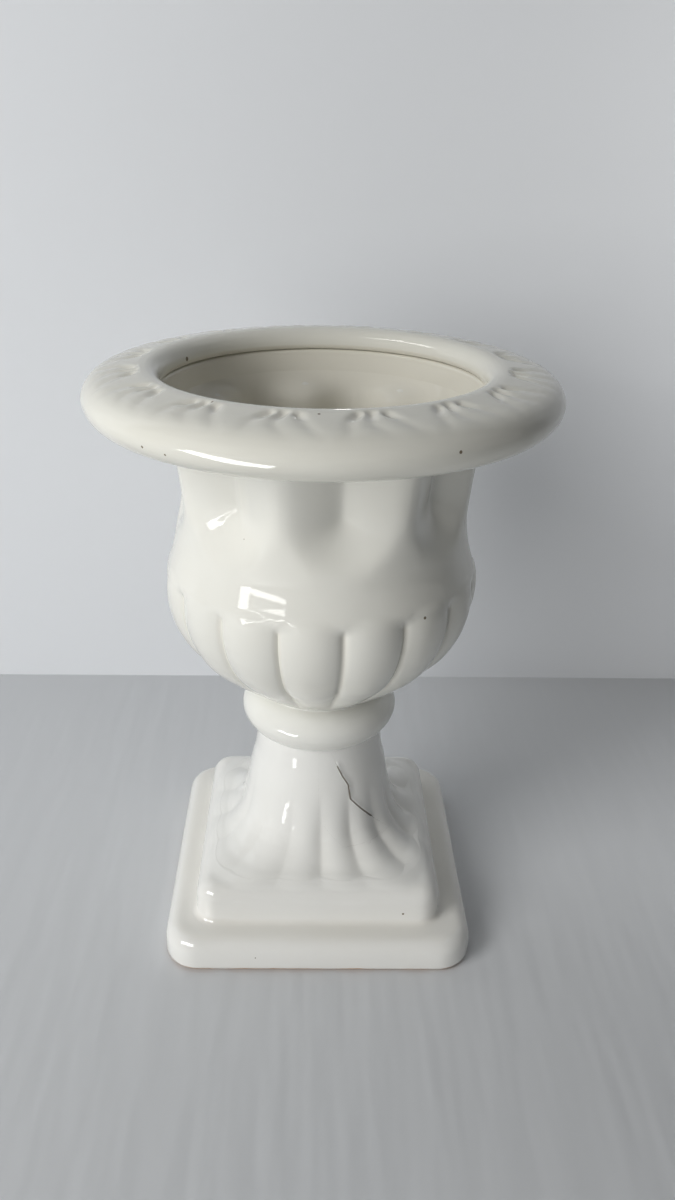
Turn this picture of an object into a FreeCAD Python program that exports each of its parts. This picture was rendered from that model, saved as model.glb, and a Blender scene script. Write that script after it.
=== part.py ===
import FreeCAD, Part
import os
import re
import Sketcher

# Table urn in slip-cast glazed earthenware: a two-tier square plinth, a flared stem, a knop,
# a scalloped and gadrooned bowl and a hollow rolled rim, luted together with slip before glazing.
# Millimetres, +Z up, origin in the middle of the foot, front of the plinth towards -Y.

SIZES = {
    # every casting
    "wall": 6.0,
    "slip_thickness": 0.6,
    "overrun": 5.0,
    "ornament_turn": -83.0,
    # plinth
    "plinth_width": 160.0,
    "plinth_corner_radius": 18.0,
    "lower_tier_height": 18.0,
    "lower_edge_radius": 8.0,
    "foot_edge_radius": 3.0,
    "foot_ring_width": 9.0,
    "tier_step": 16.0,
    "upper_corner_radius": 16.0,
    "upper_tier_height": 20.0,
    "upper_edge_radius": 7.0,
    "tier_cove_radius": 3.0,
    # stem
    "stem_height": 66.0,
    "stem_top_radius": 33.0,
    "deck_margin": 7.0,
    "stem_land": 15.0,
    # knop
    "knop_height": 21.8,
    "knop_overhang": 0.4,
    "knop_bulge": 7.4,
    "knop_taper": 3.4,
    "knop_bulge_rise": 10.4,
    # bowl
    "bowl_height": 148.0,
    "belly_radius": 77.3,
    "belly_rise": 62.6,
    "belly_arc_radius": 55.0,
    "belly_arc_turn": 52.0,
    "shoulder_arc_radius": 60.0,
    "shoulder_arc_turn": 14.0,
    "neck_arc_radius": 125.0,
    "scallop_count": 8.0,
    "scallop_radius": 70.0,
    "scallop_depth": 8.0,
    "scallop_end_radius": 32.0,
    "scallop_end_rise": 44.5,
    "scallop_top_radius": 10.0,
    "gadroon_count": 16.0,
    "gadroon_groove_radius": 5.0,
    "gadroon_groove_depth": 1.8,
    "gadroon_top_turn": 11.0,
    "gadroon_foot_turn": 64.0,
    # rim
    "rim_radius": 110.6,
    "roll_height": 22.84,
    "roll_rise": 7.8,
    "crest_lift": 1.68,
    "lip_reach": 9.0,
    "lip_drop": 6.4,
    "lip_edge_thickness": 4.0,
    "lip_gap": 2.2,
    "collar_setback": 2.5,
    "collar_thickness": 4.0,
}

# The stem's outline, from its square foot to its round top: height as a share of the stem's,
# half width as a share of the way from the top radius to the foot, corner as a share of half width.
STEM_SHARES = [
    (0.0, 1.0, 0.35),
    (0.045, 0.79, 0.42),
    (0.12, 0.56, 0.6),
    (0.25, 0.385, 0.85),
    (0.485, 0.235, 0.96),
    (0.75, 0.075, 0.98),
    (1.0, 0.0, 0.98),
]
# Where the stem's bore bends: its height, and its radius between top and foot, as shares.
BORE_BEND_SHARES = (0.47, 0.35)
# How far the rim's crest and the middle of its roll lie between the neck and the rim's edge.
CREST_SHARE = 0.1375
ROLL_SHARE = 0.4834
# Points round the roll, as shares of its half width and half height from its middle.
ROOT_SHARES = (-0.488, -0.859)
SHOULDER_SHARES = (0.434, 0.889)
NOSE_SHARES = (0.816, 0.57)
# How far from level, as a share of the slip's thickness, an edge may lie to count as level.
LEVEL_SHARE = 0.01

# Levels of the joints between the castings, each raised by the layer of slip below it.
DECK = "(lower_tier_height + upper_tier_height)"
STEM_BASE = "(" + DECK + " + slip_thickness)"
STEM_TOP = "(" + STEM_BASE + " + stem_height)"
KNOP_BASE = "(" + STEM_TOP + " + slip_thickness)"
KNOP_TOP = "(" + KNOP_BASE + " + knop_height)"
BOWL_BASE = "(" + KNOP_TOP + " + slip_thickness)"
BOWL_TOP = "(" + BOWL_BASE + " + bowl_height)"
RIM_BASE = "(" + BOWL_TOP + " + slip_thickness)"

# Each piece that sits on another takes its size from that piece.
UPPER_HALF = "(plinth_width / 2 - tier_step)"
STEM_FOOT = "(" + UPPER_HALF + " - deck_margin)"
BORE_FOOT = "(" + STEM_FOOT + " - stem_land)"
BORE_TOP = "(stem_top_radius - wall)"
KNOP_FOOT = "(stem_top_radius + knop_overhang)"
KNOP_RADIUS = "(" + KNOP_FOOT + " + knop_bulge)"
KNOP_NECK = "(" + KNOP_FOOT + " - knop_taper)"

doc = FreeCAD.newDocument("TableUrn")
sheet = doc.addObject("Spreadsheet::Sheet", "Sizes")
for row, (alias, number) in enumerate(SIZES.items(), start=1):
    sheet.set("A" + str(row), alias)
    sheet.set("B" + str(row), str(number))
    sheet.setAlias("B" + str(row), alias)
doc.recompute()


def bound(text):
    """The expression with the sheet named before each of its sizes."""
    def named(match):
        word = match.group()
        return "Sizes." + word if word in SIZES else word
    return re.sub(r"[a-z_]+", named, text)


def value(text):
    """What an expression on the sheet comes to."""
    return float(sheet.evalExpression(bound(text)))


def bind(thing, place, text):
    thing.setExpression(place, bound(text))


def origin_part(body, role):
    return [item for item in body.Origin.OriginFeatures if item.Role == role][0]


def new_body(name):
    body = doc.addObject("PartDesign::Body", name)
    body.Label = name
    return body


def new_sketch(body, name, role):
    """A sketch on one of the body's own planes."""
    sketch = body.newObject("Sketcher::SketchObject", name)
    sketch.AttachmentSupport = (origin_part(body, role), [""])
    sketch.MapMode = "FlatFace"
    return sketch


def pin(sketch, geometry, end, across, up):
    """Holds one end of a line or arc at the place that two expressions give."""
    for kind, axis, text in (("DistanceX", -2, across), ("DistanceY", -1, up)):
        if text == "0":
            sketch.addConstraint(Sketcher.Constraint("PointOnObject", geometry, end, axis))
            continue
        rule = Sketcher.Constraint(kind, -1, 1, geometry, end, value(text))
        index = sketch.addConstraint(rule)
        bind(sketch, "Constraints[" + str(index) + "]", text)


def draw_outline(sketch, corners):
    """A closed outline. A corner is (across, up), or (across, up, via across, via up) where
    an arc leads from it to the next corner through the point between them."""
    spots = [FreeCAD.Vector(value(corner[0]), value(corner[1]), 0) for corner in corners]
    ends = []
    for index, corner in enumerate(corners):
        start = spots[index]
        finish = spots[(index + 1) % len(corners)]
        if len(corner) == 2:
            line = sketch.addGeometry(Part.LineSegment(start, finish))
            ends.append((line, 1, 2))
            continue
        middle = FreeCAD.Vector(value(corner[2]), value(corner[3]), 0)
        arc = sketch.addGeometry(Part.Arc(start, middle, finish))
        first_end = sketch.getPoint(arc, 1)
        forward = first_end.distanceToPoint(start) < first_end.distanceToPoint(finish)
        ends.append((arc, 1, 2) if forward else (arc, 2, 1))
        point = sketch.addGeometry(Part.Point(middle), True)
        pin(sketch, point, 1, corner[2], corner[3])
        sketch.addConstraint(Sketcher.Constraint("PointOnObject", point, 1, arc))
    for index, corner in enumerate(corners):
        geometry, first, last = ends[index]
        following = ends[(index + 1) % len(ends)]
        sketch.addConstraint(Sketcher.Constraint("Coincident", geometry, last, following[0], following[1]))
        pin(sketch, geometry, first, corner[0], corner[1])


def draw_rounded_square(sketch, half, corner):
    """A square about the origin with round corners, from two expressions."""
    straight = "(" + half + " - " + corner + ")"
    bulge = "(" + half + " - " + corner + " * (1 - cos(45)))"
    corners = []
    for across, up in ((1, 1), (-1, 1), (-1, -1), (1, -1)):
        side = "-" if across < 0 else ""
        end = "-" if up < 0 else ""
        first = (side + half, end + straight)
        second = (side + straight, end + half)
        if across * up < 0:
            first, second = second, first
        corners.append(first + (side + bulge, end + bulge))
        corners.append(second)
    draw_outline(sketch, corners)


def draw_circle(sketch, across, radius):
    """A circle on the sketch's horizontal axis."""
    middle = FreeCAD.Vector(value(across), 0, 0)
    circle = sketch.addGeometry(Part.Circle(middle, FreeCAD.Vector(0, 0, 1), value(radius)))
    pin(sketch, circle, 3, across, "0")
    index = sketch.addConstraint(Sketcher.Constraint("Radius", circle, value(radius)))
    bind(sketch, "Constraints[" + str(index) + "]", radius)


def on_arc(across, up, radius, turn):
    """Expressions for a point on an arc: the arc's centre, its radius and the turn from level."""
    reach = "(" + radius + ")"
    return (across + " + " + reach + " * cos(" + turn + ")", up + " + " + reach + " * sin(" + turn + ")")


def add_solid(body, kind, name, sketch, **settings):
    """Adds a feature made from a sketch, with sizes bound to expressions."""
    feature = body.newObject("PartDesign::" + kind, name)
    feature.Profile = sketch
    if kind == "Revolution":
        feature.ReferenceAxis = (sketch, ["V_Axis"])
        feature.Angle = 360
    for place, text in settings.items():
        bind(feature, place, text)
    doc.recompute()
    return feature


def cut_solid(body, kind, name, sketch, reverse=False, **settings):
    """Cuts a feature made from a sketch, and makes sure that it took something away."""
    before = body.Shape.Volume
    feature = body.newObject("PartDesign::" + kind, name)
    feature.Profile = sketch
    feature.Reversed = reverse
    if kind == "Groove":
        feature.ReferenceAxis = (sketch, ["V_Axis"])
        feature.Angle = 360
    for place, text in settings.items():
        bind(feature, place, text)
    doc.recompute()
    if not body.Shape.Volume < before:
        raise RuntimeError(name + " cuts nothing")
    return feature


def repeat_round(body, name, feature, count):
    """Repeats a feature round the body's upright axis."""
    pattern = body.newObject("PartDesign::PolarPattern", name)
    pattern.Originals = [feature]
    pattern.Axis = (origin_part(body, "Z_Axis"), [""])
    pattern.Angle = 360
    bind(pattern, "Occurrences", count)
    body.Tip = pattern
    doc.recompute()
    return pattern


def fillet(body, name, base, chosen, radius):
    """Rounds the edges of the base feature that the test chooses."""
    feature = body.newObject("PartDesign::Fillet", name)
    edges = enumerate(base.Shape.Edges, start=1)
    feature.Base = (base, ["Edge" + str(number) for number, edge in edges if chosen(edge)])
    bind(feature, "Radius", radius)
    doc.recompute()
    return feature


# The plinth: a square foot with a bull-nosed edge and a smaller tier on it, hollow underneath.
plinth = new_body("plinth")
tier_sketch = new_sketch(plinth, "lower_tier_outline", "XY_Plane")
draw_rounded_square(tier_sketch, "(plinth_width / 2)", "plinth_corner_radius")
add_solid(plinth, "Pad", "lower_tier", tier_sketch, Length="lower_tier_height")
tier_sketch = new_sketch(plinth, "upper_tier_outline", "XY_Plane")
draw_rounded_square(tier_sketch, UPPER_HALF, "upper_corner_radius")
tiers = add_solid(plinth, "Pad", "upper_tier", tier_sketch, Length=DECK)


def level_edge(edge, level):
    """Whether an edge lies flat at a level."""
    box = edge.BoundBox
    slack = value("slip_thickness") * LEVEL_SHARE
    return abs(box.ZMin - value(level)) < slack and abs(box.ZMax - value(level)) < slack


def outer_edge(edge):
    """Whether an edge lies outside the upper tier."""
    middle = edge.valueAt((edge.FirstParameter + edge.LastParameter) / 2)
    return max(abs(middle.x), abs(middle.y)) > value(UPPER_HALF + " + slip_thickness")


nose = fillet(plinth, "lower_nose", tiers,
              lambda edge: level_edge(edge, "lower_tier_height") and outer_edge(edge), "lower_edge_radius")
cove = fillet(plinth, "tier_cove", nose,
              lambda edge: level_edge(edge, "lower_tier_height") and not outer_edge(edge), "tier_cove_radius")
crown = fillet(plinth, "upper_nose", cove, lambda edge: level_edge(edge, DECK), "upper_edge_radius")
fillet(plinth, "foot_nose", crown, lambda edge: level_edge(edge, "0"), "foot_edge_radius")

hollow_sketch = new_sketch(plinth, "lower_hollow_outline", "XY_Plane")
draw_rounded_square(hollow_sketch, "(plinth_width / 2 - foot_ring_width)", "(plinth_corner_radius - wall)")
cut_solid(plinth, "Pocket", "lower_hollow", hollow_sketch, True, Length="lower_tier_height - wall")
hollow_sketch = new_sketch(plinth, "upper_hollow_outline", "XY_Plane")
draw_rounded_square(hollow_sketch, "(" + UPPER_HALF + " - wall)", "(upper_corner_radius - wall)")
cut_solid(plinth, "Pocket", "upper_hollow", hollow_sketch, True, Length=DECK + " - wall")
hollow_sketch = new_sketch(plinth, "deck_hole_outline", "XY_Plane")
draw_circle(hollow_sketch, "0", BORE_FOOT)
cut_solid(plinth, "Pocket", "deck_hole", hollow_sketch, True, Length=DECK + " + overrun")

# The stem: round under the knop, flaring out to a square foot with round corners, hollow.
stem = new_body("stem")
sections = []
for height_share, width_share, corner_share in STEM_SHARES:
    half = "(stem_top_radius + (" + STEM_FOOT + " - stem_top_radius) * " + str(width_share) + ")"
    section = new_sketch(stem, "stem_section_" + str(len(sections)), "XY_Plane")
    bind(section, "AttachmentOffset.Base.z", STEM_BASE + " + stem_height * " + str(height_share))
    draw_rounded_square(section, half, "(" + half + " * " + str(corner_share) + ")")
    sections.append(section)
doc.recompute()
flare = stem.newObject("PartDesign::AdditiveLoft", "stem_flare")
flare.Profile = sections[0]
flare.Sections = sections[1:]
doc.recompute()
bore_sketch = new_sketch(stem, "stem_bore_outline", "XZ_Plane")
bend_rise, bend_reach = (str(share) for share in BORE_BEND_SHARES)
draw_outline(bore_sketch, [
    ("0", STEM_BASE + " - overrun"),
    (BORE_FOOT, STEM_BASE + " - overrun"),
    (BORE_FOOT, STEM_BASE,
     BORE_TOP + " + (" + BORE_FOOT + " - " + BORE_TOP + ") * " + bend_reach,
     STEM_BASE + " + stem_height * " + bend_rise),
    (BORE_TOP, STEM_TOP),
    (BORE_TOP, STEM_TOP + " + overrun"),
    ("0", STEM_TOP + " + overrun"),
])
cut_solid(stem, "Groove", "stem_bore", bore_sketch)

# The knop: a thick ring between the stem and the bowl, as hollow as they are.
knop = new_body("knop")
knop_sketch = new_sketch(knop, "knop_outline", "XZ_Plane")
draw_outline(knop_sketch, [
    (KNOP_FOOT, KNOP_BASE, KNOP_RADIUS, KNOP_BASE + " + knop_bulge_rise"),
    (KNOP_NECK, KNOP_TOP),
    (KNOP_NECK + " - wall", KNOP_TOP, KNOP_RADIUS + " - wall", KNOP_BASE + " + knop_bulge_rise"),
    (KNOP_FOOT + " - wall", KNOP_BASE),
])
add_solid(knop, "Revolution", "knop_ring", knop_sketch)

# The bowl's outline: a straight slope up from the base, a round belly, a shoulder and a waisted neck.
BELLY_LEVEL = "(" + BOWL_BASE + " + belly_rise)"
BELLY_MIDDLE = "(belly_radius - belly_arc_radius)"
SHOULDER_MIDDLE = "(belly_radius - shoulder_arc_radius)"
NECK_REACH = "(shoulder_arc_radius + neck_arc_radius)"
NECK_MIDDLE = "(" + SHOULDER_MIDDLE + " + " + NECK_REACH + " * cos(shoulder_arc_turn))"
NECK_LEVEL = "(" + BELLY_LEVEL + " + " + NECK_REACH + " * sin(shoulder_arc_turn))"


def neck_radius(level, inset):
    """The neck's radius at a level, drawn in by an inset."""
    drop = "(" + level + " - " + NECK_LEVEL + ")"
    return NECK_MIDDLE + " - sqrt((neck_arc_radius + " + inset + ")^2 - " + drop + "^2)"


def bowl_form(name, inset, top):
    """The bowl's outside as a full solid, or its inside where the outline is drawn in by the wall.
    The inside follows the scallops, as the wall of a slip casting does."""
    body = new_body(name)
    floor = "(" + BOWL_BASE + " + " + inset + ")"
    slope = on_arc(BELLY_MIDDLE, BELLY_LEVEL, "belly_arc_radius - " + inset, "-belly_arc_turn")
    shoulder = on_arc(SHOULDER_MIDDLE, BELLY_LEVEL, "shoulder_arc_radius - " + inset, "shoulder_arc_turn")
    halfway = "((" + shoulder[1] + " + " + top + ") / 2)"
    sketch = new_sketch(body, name + "_outline", "XZ_Plane")
    draw_outline(sketch, [
        ("0", floor),
        (slope[0] + " - (" + slope[1] + " - " + floor + ") * tan(belly_arc_turn)", floor),
        slope + on_arc(BELLY_MIDDLE, BELLY_LEVEL, "belly_arc_radius - " + inset, "-belly_arc_turn / 2"),
        ("belly_radius - " + inset, BELLY_LEVEL)
        + on_arc(SHOULDER_MIDDLE, BELLY_LEVEL, "shoulder_arc_radius - " + inset, "shoulder_arc_turn / 2"),
        shoulder + (neck_radius(halfway, inset), halfway),
        (neck_radius(top, inset), top),
        ("0", top),
    ])
    add_solid(body, "Revolution", name + "_round", sketch)
    reach = "(scallop_end_radius + " + inset + ")"
    level = "(" + BELLY_LEVEL + " + scallop_end_rise)"
    sketch = new_sketch(body, name + "_scallop_outline", "XZ_Plane")
    waist = "(" + NECK_MIDDLE + " - neck_arc_radius)"
    bind(sketch, "AttachmentOffset.Base.x", "scallop_depth - scallop_radius - " + waist)
    flat = "(scallop_radius - scallop_end_radius)"
    top_reach = "(scallop_top_radius + " + inset + ")"
    top_level = "(" + BOWL_TOP + " - wall - scallop_top_radius)"
    top_flat = "(scallop_radius - scallop_top_radius)"
    draw_outline(sketch, [
        ("0", level + " - " + reach),
        (flat, level + " - " + reach) + on_arc(flat, level, reach, "-45"),
        ("scallop_radius + " + inset, level),
        ("scallop_radius + " + inset, top_level) + on_arc(top_flat, top_level, top_reach, "45"),
        (top_flat, top_level + " + " + top_reach),
        ("0", top_level + " + " + top_reach),
    ])
    scallop = cut_solid(body, "Groove", name + "_scallop", sketch)
    repeat_round(body, name + "_scallops", scallop, "scallop_count")
    return body


outside = bowl_form("bowl_outside", "0", BOWL_TOP)
inside = bowl_form("bowl_inside", "wall", "(" + BOWL_TOP + " + overrun)")

# The gadroons are the lobes left between grooves that follow the belly down to the base.
groove_sketch = new_sketch(outside, "gadroon_groove_outline", "XY_Plane")
groove_axis = FreeCAD.Rotation(FreeCAD.Vector(0, -1, 0), 1)
groove_sketch.AttachmentOffset = FreeCAD.Placement(FreeCAD.Vector(), groove_axis)
bind(groove_sketch, "AttachmentOffset.Base.x", BELLY_MIDDLE)
bind(groove_sketch, "AttachmentOffset.Base.z", BELLY_LEVEL)
bind(groove_sketch, "AttachmentOffset.Rotation.Angle", "gadroon_top_turn")
draw_circle(groove_sketch, "belly_arc_radius + gadroon_groove_radius - gadroon_groove_depth",
            "gadroon_groove_radius")
groove = cut_solid(outside, "Groove", "gadroon_groove", groove_sketch,
                   Angle="gadroon_top_turn + gadroon_foot_turn")
repeat_round(outside, "gadroon_grooves", groove, "gadroon_count")

bowl = doc.addObject("Part::Cut", "bowl")
bowl.Label = "bowl"
bowl.Base = outside
bowl.Tool = inside
bind(bowl, "Placement.Rotation.Angle", "ornament_turn")

# The rim: a hollow roll with its lip turned down at the mouth, over a collar that carries on the
# neck's wall and leaves a narrow gap under the lip.
rim = new_body("rim")
NECK_TOP = "(" + neck_radius(BOWL_TOP, "0") + ")"
RIM_REACH = "(rim_radius - " + NECK_TOP + ")"
CREST_RADIUS = "(" + NECK_TOP + " + " + RIM_REACH + " * " + str(CREST_SHARE) + ")"
ROLL_MIDDLE = "(" + NECK_TOP + " + " + RIM_REACH + " * " + str(ROLL_SHARE) + ")"
ROLL_LEVEL = "(" + RIM_BASE + " + roll_rise)"
CREST = "(" + ROLL_LEVEL + " + roll_height / 2 + crest_lift)"
MOUTH_RADIUS = "(" + CREST_RADIUS + " - lip_reach)"
LIP_FOOT = "(" + CREST + " - lip_drop - lip_edge_thickness)"
COLLAR_TOP = "(" + LIP_FOOT + " - lip_gap)"
COLLAR_INSIDE = "(" + MOUTH_RADIUS + " + collar_setback)"
COLLAR_OUTSIDE = "(" + COLLAR_INSIDE + " + collar_thickness)"


def on_roll(across_share, up_share, inset):
    """A point of the roll's outside, or of its inside where it is drawn in by the wall."""
    across = "(rim_radius - " + ROLL_MIDDLE + " - " + inset + ") * " + str(across_share)
    up = "(roll_height / 2 - " + inset + ") * " + str(up_share)
    return (ROLL_MIDDLE + " + " + across, ROLL_LEVEL + " + " + up)


rim_sketch = new_sketch(rim, "rim_outline", "XZ_Plane")
nose_across, nose_up = NOSE_SHARES
root = on_roll(*ROOT_SHARES, "0")
floor = on_roll(0, -1, "wall")
draw_outline(rim_sketch, [
    (NECK_TOP, RIM_BASE),
    root + on_roll(0, -1, "0"),
    on_roll(nose_across, -nose_up, "0") + on_roll(1, 0, "0"),
    on_roll(nose_across, nose_up, "0") + on_roll(*SHOULDER_SHARES, "0"),
    on_roll(0, 1, "0"),
    (CREST_RADIUS, CREST,
     CREST_RADIUS + " - lip_reach * cos(45)", CREST + " - lip_drop * (1 - sin(45))"),
    (MOUTH_RADIUS, CREST + " - lip_drop"),
    (MOUTH_RADIUS, LIP_FOOT),
    (CREST_RADIUS, CREST + " - wall"),
    on_roll(0, 1, "wall") + on_roll(*SHOULDER_SHARES, "wall"),
    on_roll(nose_across, nose_up, "wall") + on_roll(1, 0, "wall"),
    on_roll(nose_across, -nose_up, "wall") + on_roll(SHOULDER_SHARES[0], -SHOULDER_SHARES[1], "wall"),
    floor,
    (root[0], floor[1]),
    (COLLAR_OUTSIDE, floor[1] + " + wall / 2"),
    (COLLAR_OUTSIDE, COLLAR_TOP),
    (COLLAR_INSIDE, COLLAR_TOP),
    (neck_radius(BOWL_TOP, "wall"), RIM_BASE),
])
add_solid(rim, "Revolution", "rim_ring", rim_sketch)


def slip_layer(name, level, draw_outside, hole):
    """A thin layer of fired slip on a joint, with a hole where the castings are hollow."""
    body = new_body(name)
    sketch = new_sketch(body, name + "_outline", "XY_Plane")
    bind(sketch, "AttachmentOffset.Base.z", level)
    draw_outside(sketch)
    draw_circle(sketch, "0", hole)
    add_solid(body, "Pad", name + "_layer", sketch, Length="slip_thickness")
    return body


# The layers of slip that join the castings.
foot_corner = "(" + STEM_FOOT + " * " + str(STEM_SHARES[0][2]) + ")"
layers = [
    slip_layer("stem_slip", DECK,
               lambda sketch: draw_rounded_square(sketch, STEM_FOOT, foot_corner), BORE_FOOT),
    slip_layer("knop_slip", STEM_TOP,
               lambda sketch: draw_circle(sketch, "0", "stem_top_radius"), BORE_TOP),
    slip_layer("bowl_slip", KNOP_TOP,
               lambda sketch: draw_circle(sketch, "0", KNOP_NECK), KNOP_NECK + " - wall"),
    slip_layer("rim_slip", BOWL_TOP,
               lambda sketch: draw_circle(sketch, "0", NECK_TOP), neck_radius(BOWL_TOP, "wall")),
]

doc.recompute()
for item in doc.Objects:
    if "Invalid" in item.State or "Error" in item.State:
        raise RuntimeError(item.Label + " failed: " + str(item.State))
os.makedirs("parts", exist_ok=True)
for piece in [plinth, stem, knop, bowl, rim] + layers:
    if piece.Shape.isNull() or not piece.Shape.isValid():
        raise RuntimeError(piece.Label + " has no valid shape")
    if len(piece.Shape.Solids) != 1:
        raise RuntimeError(piece.Label + " is not one solid")
    piece.Shape.exportStep(os.path.join("parts", piece.Label + ".step"))
    box = piece.Shape.BoundBox
    print(piece.Label, round(piece.Shape.Volume / 1000, 1), "cm3", box)
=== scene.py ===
import math
from collections import namedtuple

import bmesh
import bpy
from mathutils import Matrix, Vector


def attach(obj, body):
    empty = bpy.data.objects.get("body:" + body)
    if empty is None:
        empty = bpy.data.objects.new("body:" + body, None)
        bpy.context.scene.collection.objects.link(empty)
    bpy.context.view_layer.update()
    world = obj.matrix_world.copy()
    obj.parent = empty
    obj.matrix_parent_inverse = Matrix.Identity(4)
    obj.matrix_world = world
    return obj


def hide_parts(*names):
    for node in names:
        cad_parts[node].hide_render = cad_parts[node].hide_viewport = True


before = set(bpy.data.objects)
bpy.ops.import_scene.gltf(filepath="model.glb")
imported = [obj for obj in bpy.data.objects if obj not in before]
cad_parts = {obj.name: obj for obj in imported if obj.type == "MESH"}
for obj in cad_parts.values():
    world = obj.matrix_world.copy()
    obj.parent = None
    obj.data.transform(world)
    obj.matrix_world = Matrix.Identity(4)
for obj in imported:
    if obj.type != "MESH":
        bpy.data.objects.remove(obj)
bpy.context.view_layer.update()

# ---------------------------------------------------------------------------
# The room: a table top under a plain pale cloth, its back edge a hand's breadth
# behind the urn, and a pale wall beyond. Daylight comes in low from the left.
# ---------------------------------------------------------------------------
TABLE_BACK, TABLE_WIDE, TABLE_DEEP, WALL_HIGH = 0.222, 4, 3, 2.4
CLOTH, CLOTH_DARK = (0.695, 0.71, 0.73), (0.655, 0.67, 0.69)
PAINT, PAINT_DARK = (0.82, 0.84, 0.87), (0.79, 0.81, 0.84)
ROOM_LIGHT, ROOM_SEEN = (1.0, 0.98, 0.95), (0.36, 0.355, 0.345)
LAMP_AIM = 0.2  # the height on the urn that the lamps face


def put_down():
    """Lets go of everything, so that the next tool works on its own piece alone."""
    if bpy.context.mode != "OBJECT":
        bpy.ops.object.mode_set(mode="OBJECT")
    bpy.ops.object.select_all(action="DESELECT")


def wire(tree, *pairs):
    """Joins the sockets of a shader, each pair from its first to its second."""
    for start, end in pairs:
        tree.links.new(start, end)


def math_node(tree, operation, second=None):
    """One sum in a shader, with its second number where that one is fixed."""
    step = tree.nodes.new("ShaderNodeMath")
    step.operation = operation
    if second is not None:
        step.inputs[1].default_value = second
    return step


def noise_node(tree, scale, detail):
    """Clouds of noise in a shader."""
    noise = tree.nodes.new("ShaderNodeTexNoise")
    noise.inputs["Scale"].default_value = scale
    noise.inputs["Detail"].default_value = detail
    return noise


def mix_node(tree, **colours):
    """A blend of two colours in a shader, A and B, of which the fixed ones are given."""
    mix = tree.nodes.new("ShaderNodeMix")
    mix.data_type = "RGBA"
    for socket, colour in colours.items():
        mix.inputs[socket].default_value = (*colour, 1)
    return mix


def plain_surface(name, tone, dark, scale):
    """A matt painted or cloth surface with faint clouds of tone."""
    surface = bpy.data.materials.new(name)
    surface.use_nodes = True
    tree = surface.node_tree
    shader = tree.nodes["Principled BSDF"]
    shader.inputs["Roughness"].default_value = 0.85
    shader.inputs["Specular IOR Level"].default_value = 0.2
    place = tree.nodes.new("ShaderNodeTexCoord")
    clouds = noise_node(tree, scale, 4)
    tint = mix_node(tree, A=dark, B=tone)
    wire(
        tree,
        (place.outputs["Object"], clouds.inputs["Vector"]),
        (clouds.outputs["Fac"], tint.inputs["Factor"]),
        (tint.outputs["Result"], shader.inputs["Base Color"]),
    )
    return surface


put_down()
bpy.ops.mesh.primitive_plane_add(size=1, location=(0, TABLE_BACK - TABLE_DEEP / 2, 0))
table_top = bpy.context.object
table_top.name = "table_top"
table_top.scale = (TABLE_WIDE, TABLE_DEEP, 1)
table_cloth = plain_surface("table_cloth", CLOTH, CLOTH_DARK, 6)
table_top.data.materials.append(table_cloth)

# The cloth lies in shallow creases that run away from the camera.
cloth = table_cloth.node_tree
cloth_place = cloth.nodes.new("ShaderNodeTexCoord")
cloth_lay = cloth.nodes.new("ShaderNodeMapping")
cloth_lay.inputs["Rotation"].default_value = (0, 0, math.radians(24))
cloth_lay.inputs["Scale"].default_value = (64, 7, 1)
cloth_creases = noise_node(cloth, 5, 1)
cloth_relief = cloth.nodes.new("ShaderNodeBump")
cloth_relief.inputs["Strength"].default_value = 0.16
cloth_relief.inputs["Distance"].default_value = 0.004
wire(
    cloth,
    (cloth_place.outputs["Object"], cloth_lay.inputs["Vector"]),
    (cloth_lay.outputs["Vector"], cloth_creases.inputs["Vector"]),
    (cloth_creases.outputs["Fac"], cloth_relief.inputs["Height"]),
    (cloth_relief.outputs["Normal"], cloth.nodes["Principled BSDF"].inputs["Normal"]),
)

# The wall stands just inside the table's back edge and reaches a little below it.
put_down()
bpy.ops.mesh.primitive_plane_add(size=1, location=(0, TABLE_BACK - 0.001, WALL_HIGH / 2 - 0.01))
wall = bpy.context.object
wall.name = "wall"
wall.scale = (TABLE_WIDE, WALL_HIGH, 1)
wall.rotation_euler = (math.radians(90), 0, 0)
wall_paint = plain_surface("wall_paint", PAINT, PAINT_DARK, 2)
wall.data.materials.append(wall_paint)

# The wall's back is clear, so that the urn can be looked at from behind as well.
painted = wall_paint.node_tree
see_through = painted.nodes.new("ShaderNodeBsdfTransparent")
which_side = painted.nodes.new("ShaderNodeNewGeometry")
either_side = painted.nodes.new("ShaderNodeMixShader")
wire(
    painted,
    (which_side.outputs["Backfacing"], either_side.inputs["Fac"]),
    (painted.nodes["Principled BSDF"].outputs[0], either_side.inputs[1]),
    (see_through.outputs[0], either_side.inputs[2]),
    (either_side.outputs[0], painted.nodes["Material Output"].inputs["Surface"]),
)

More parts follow.
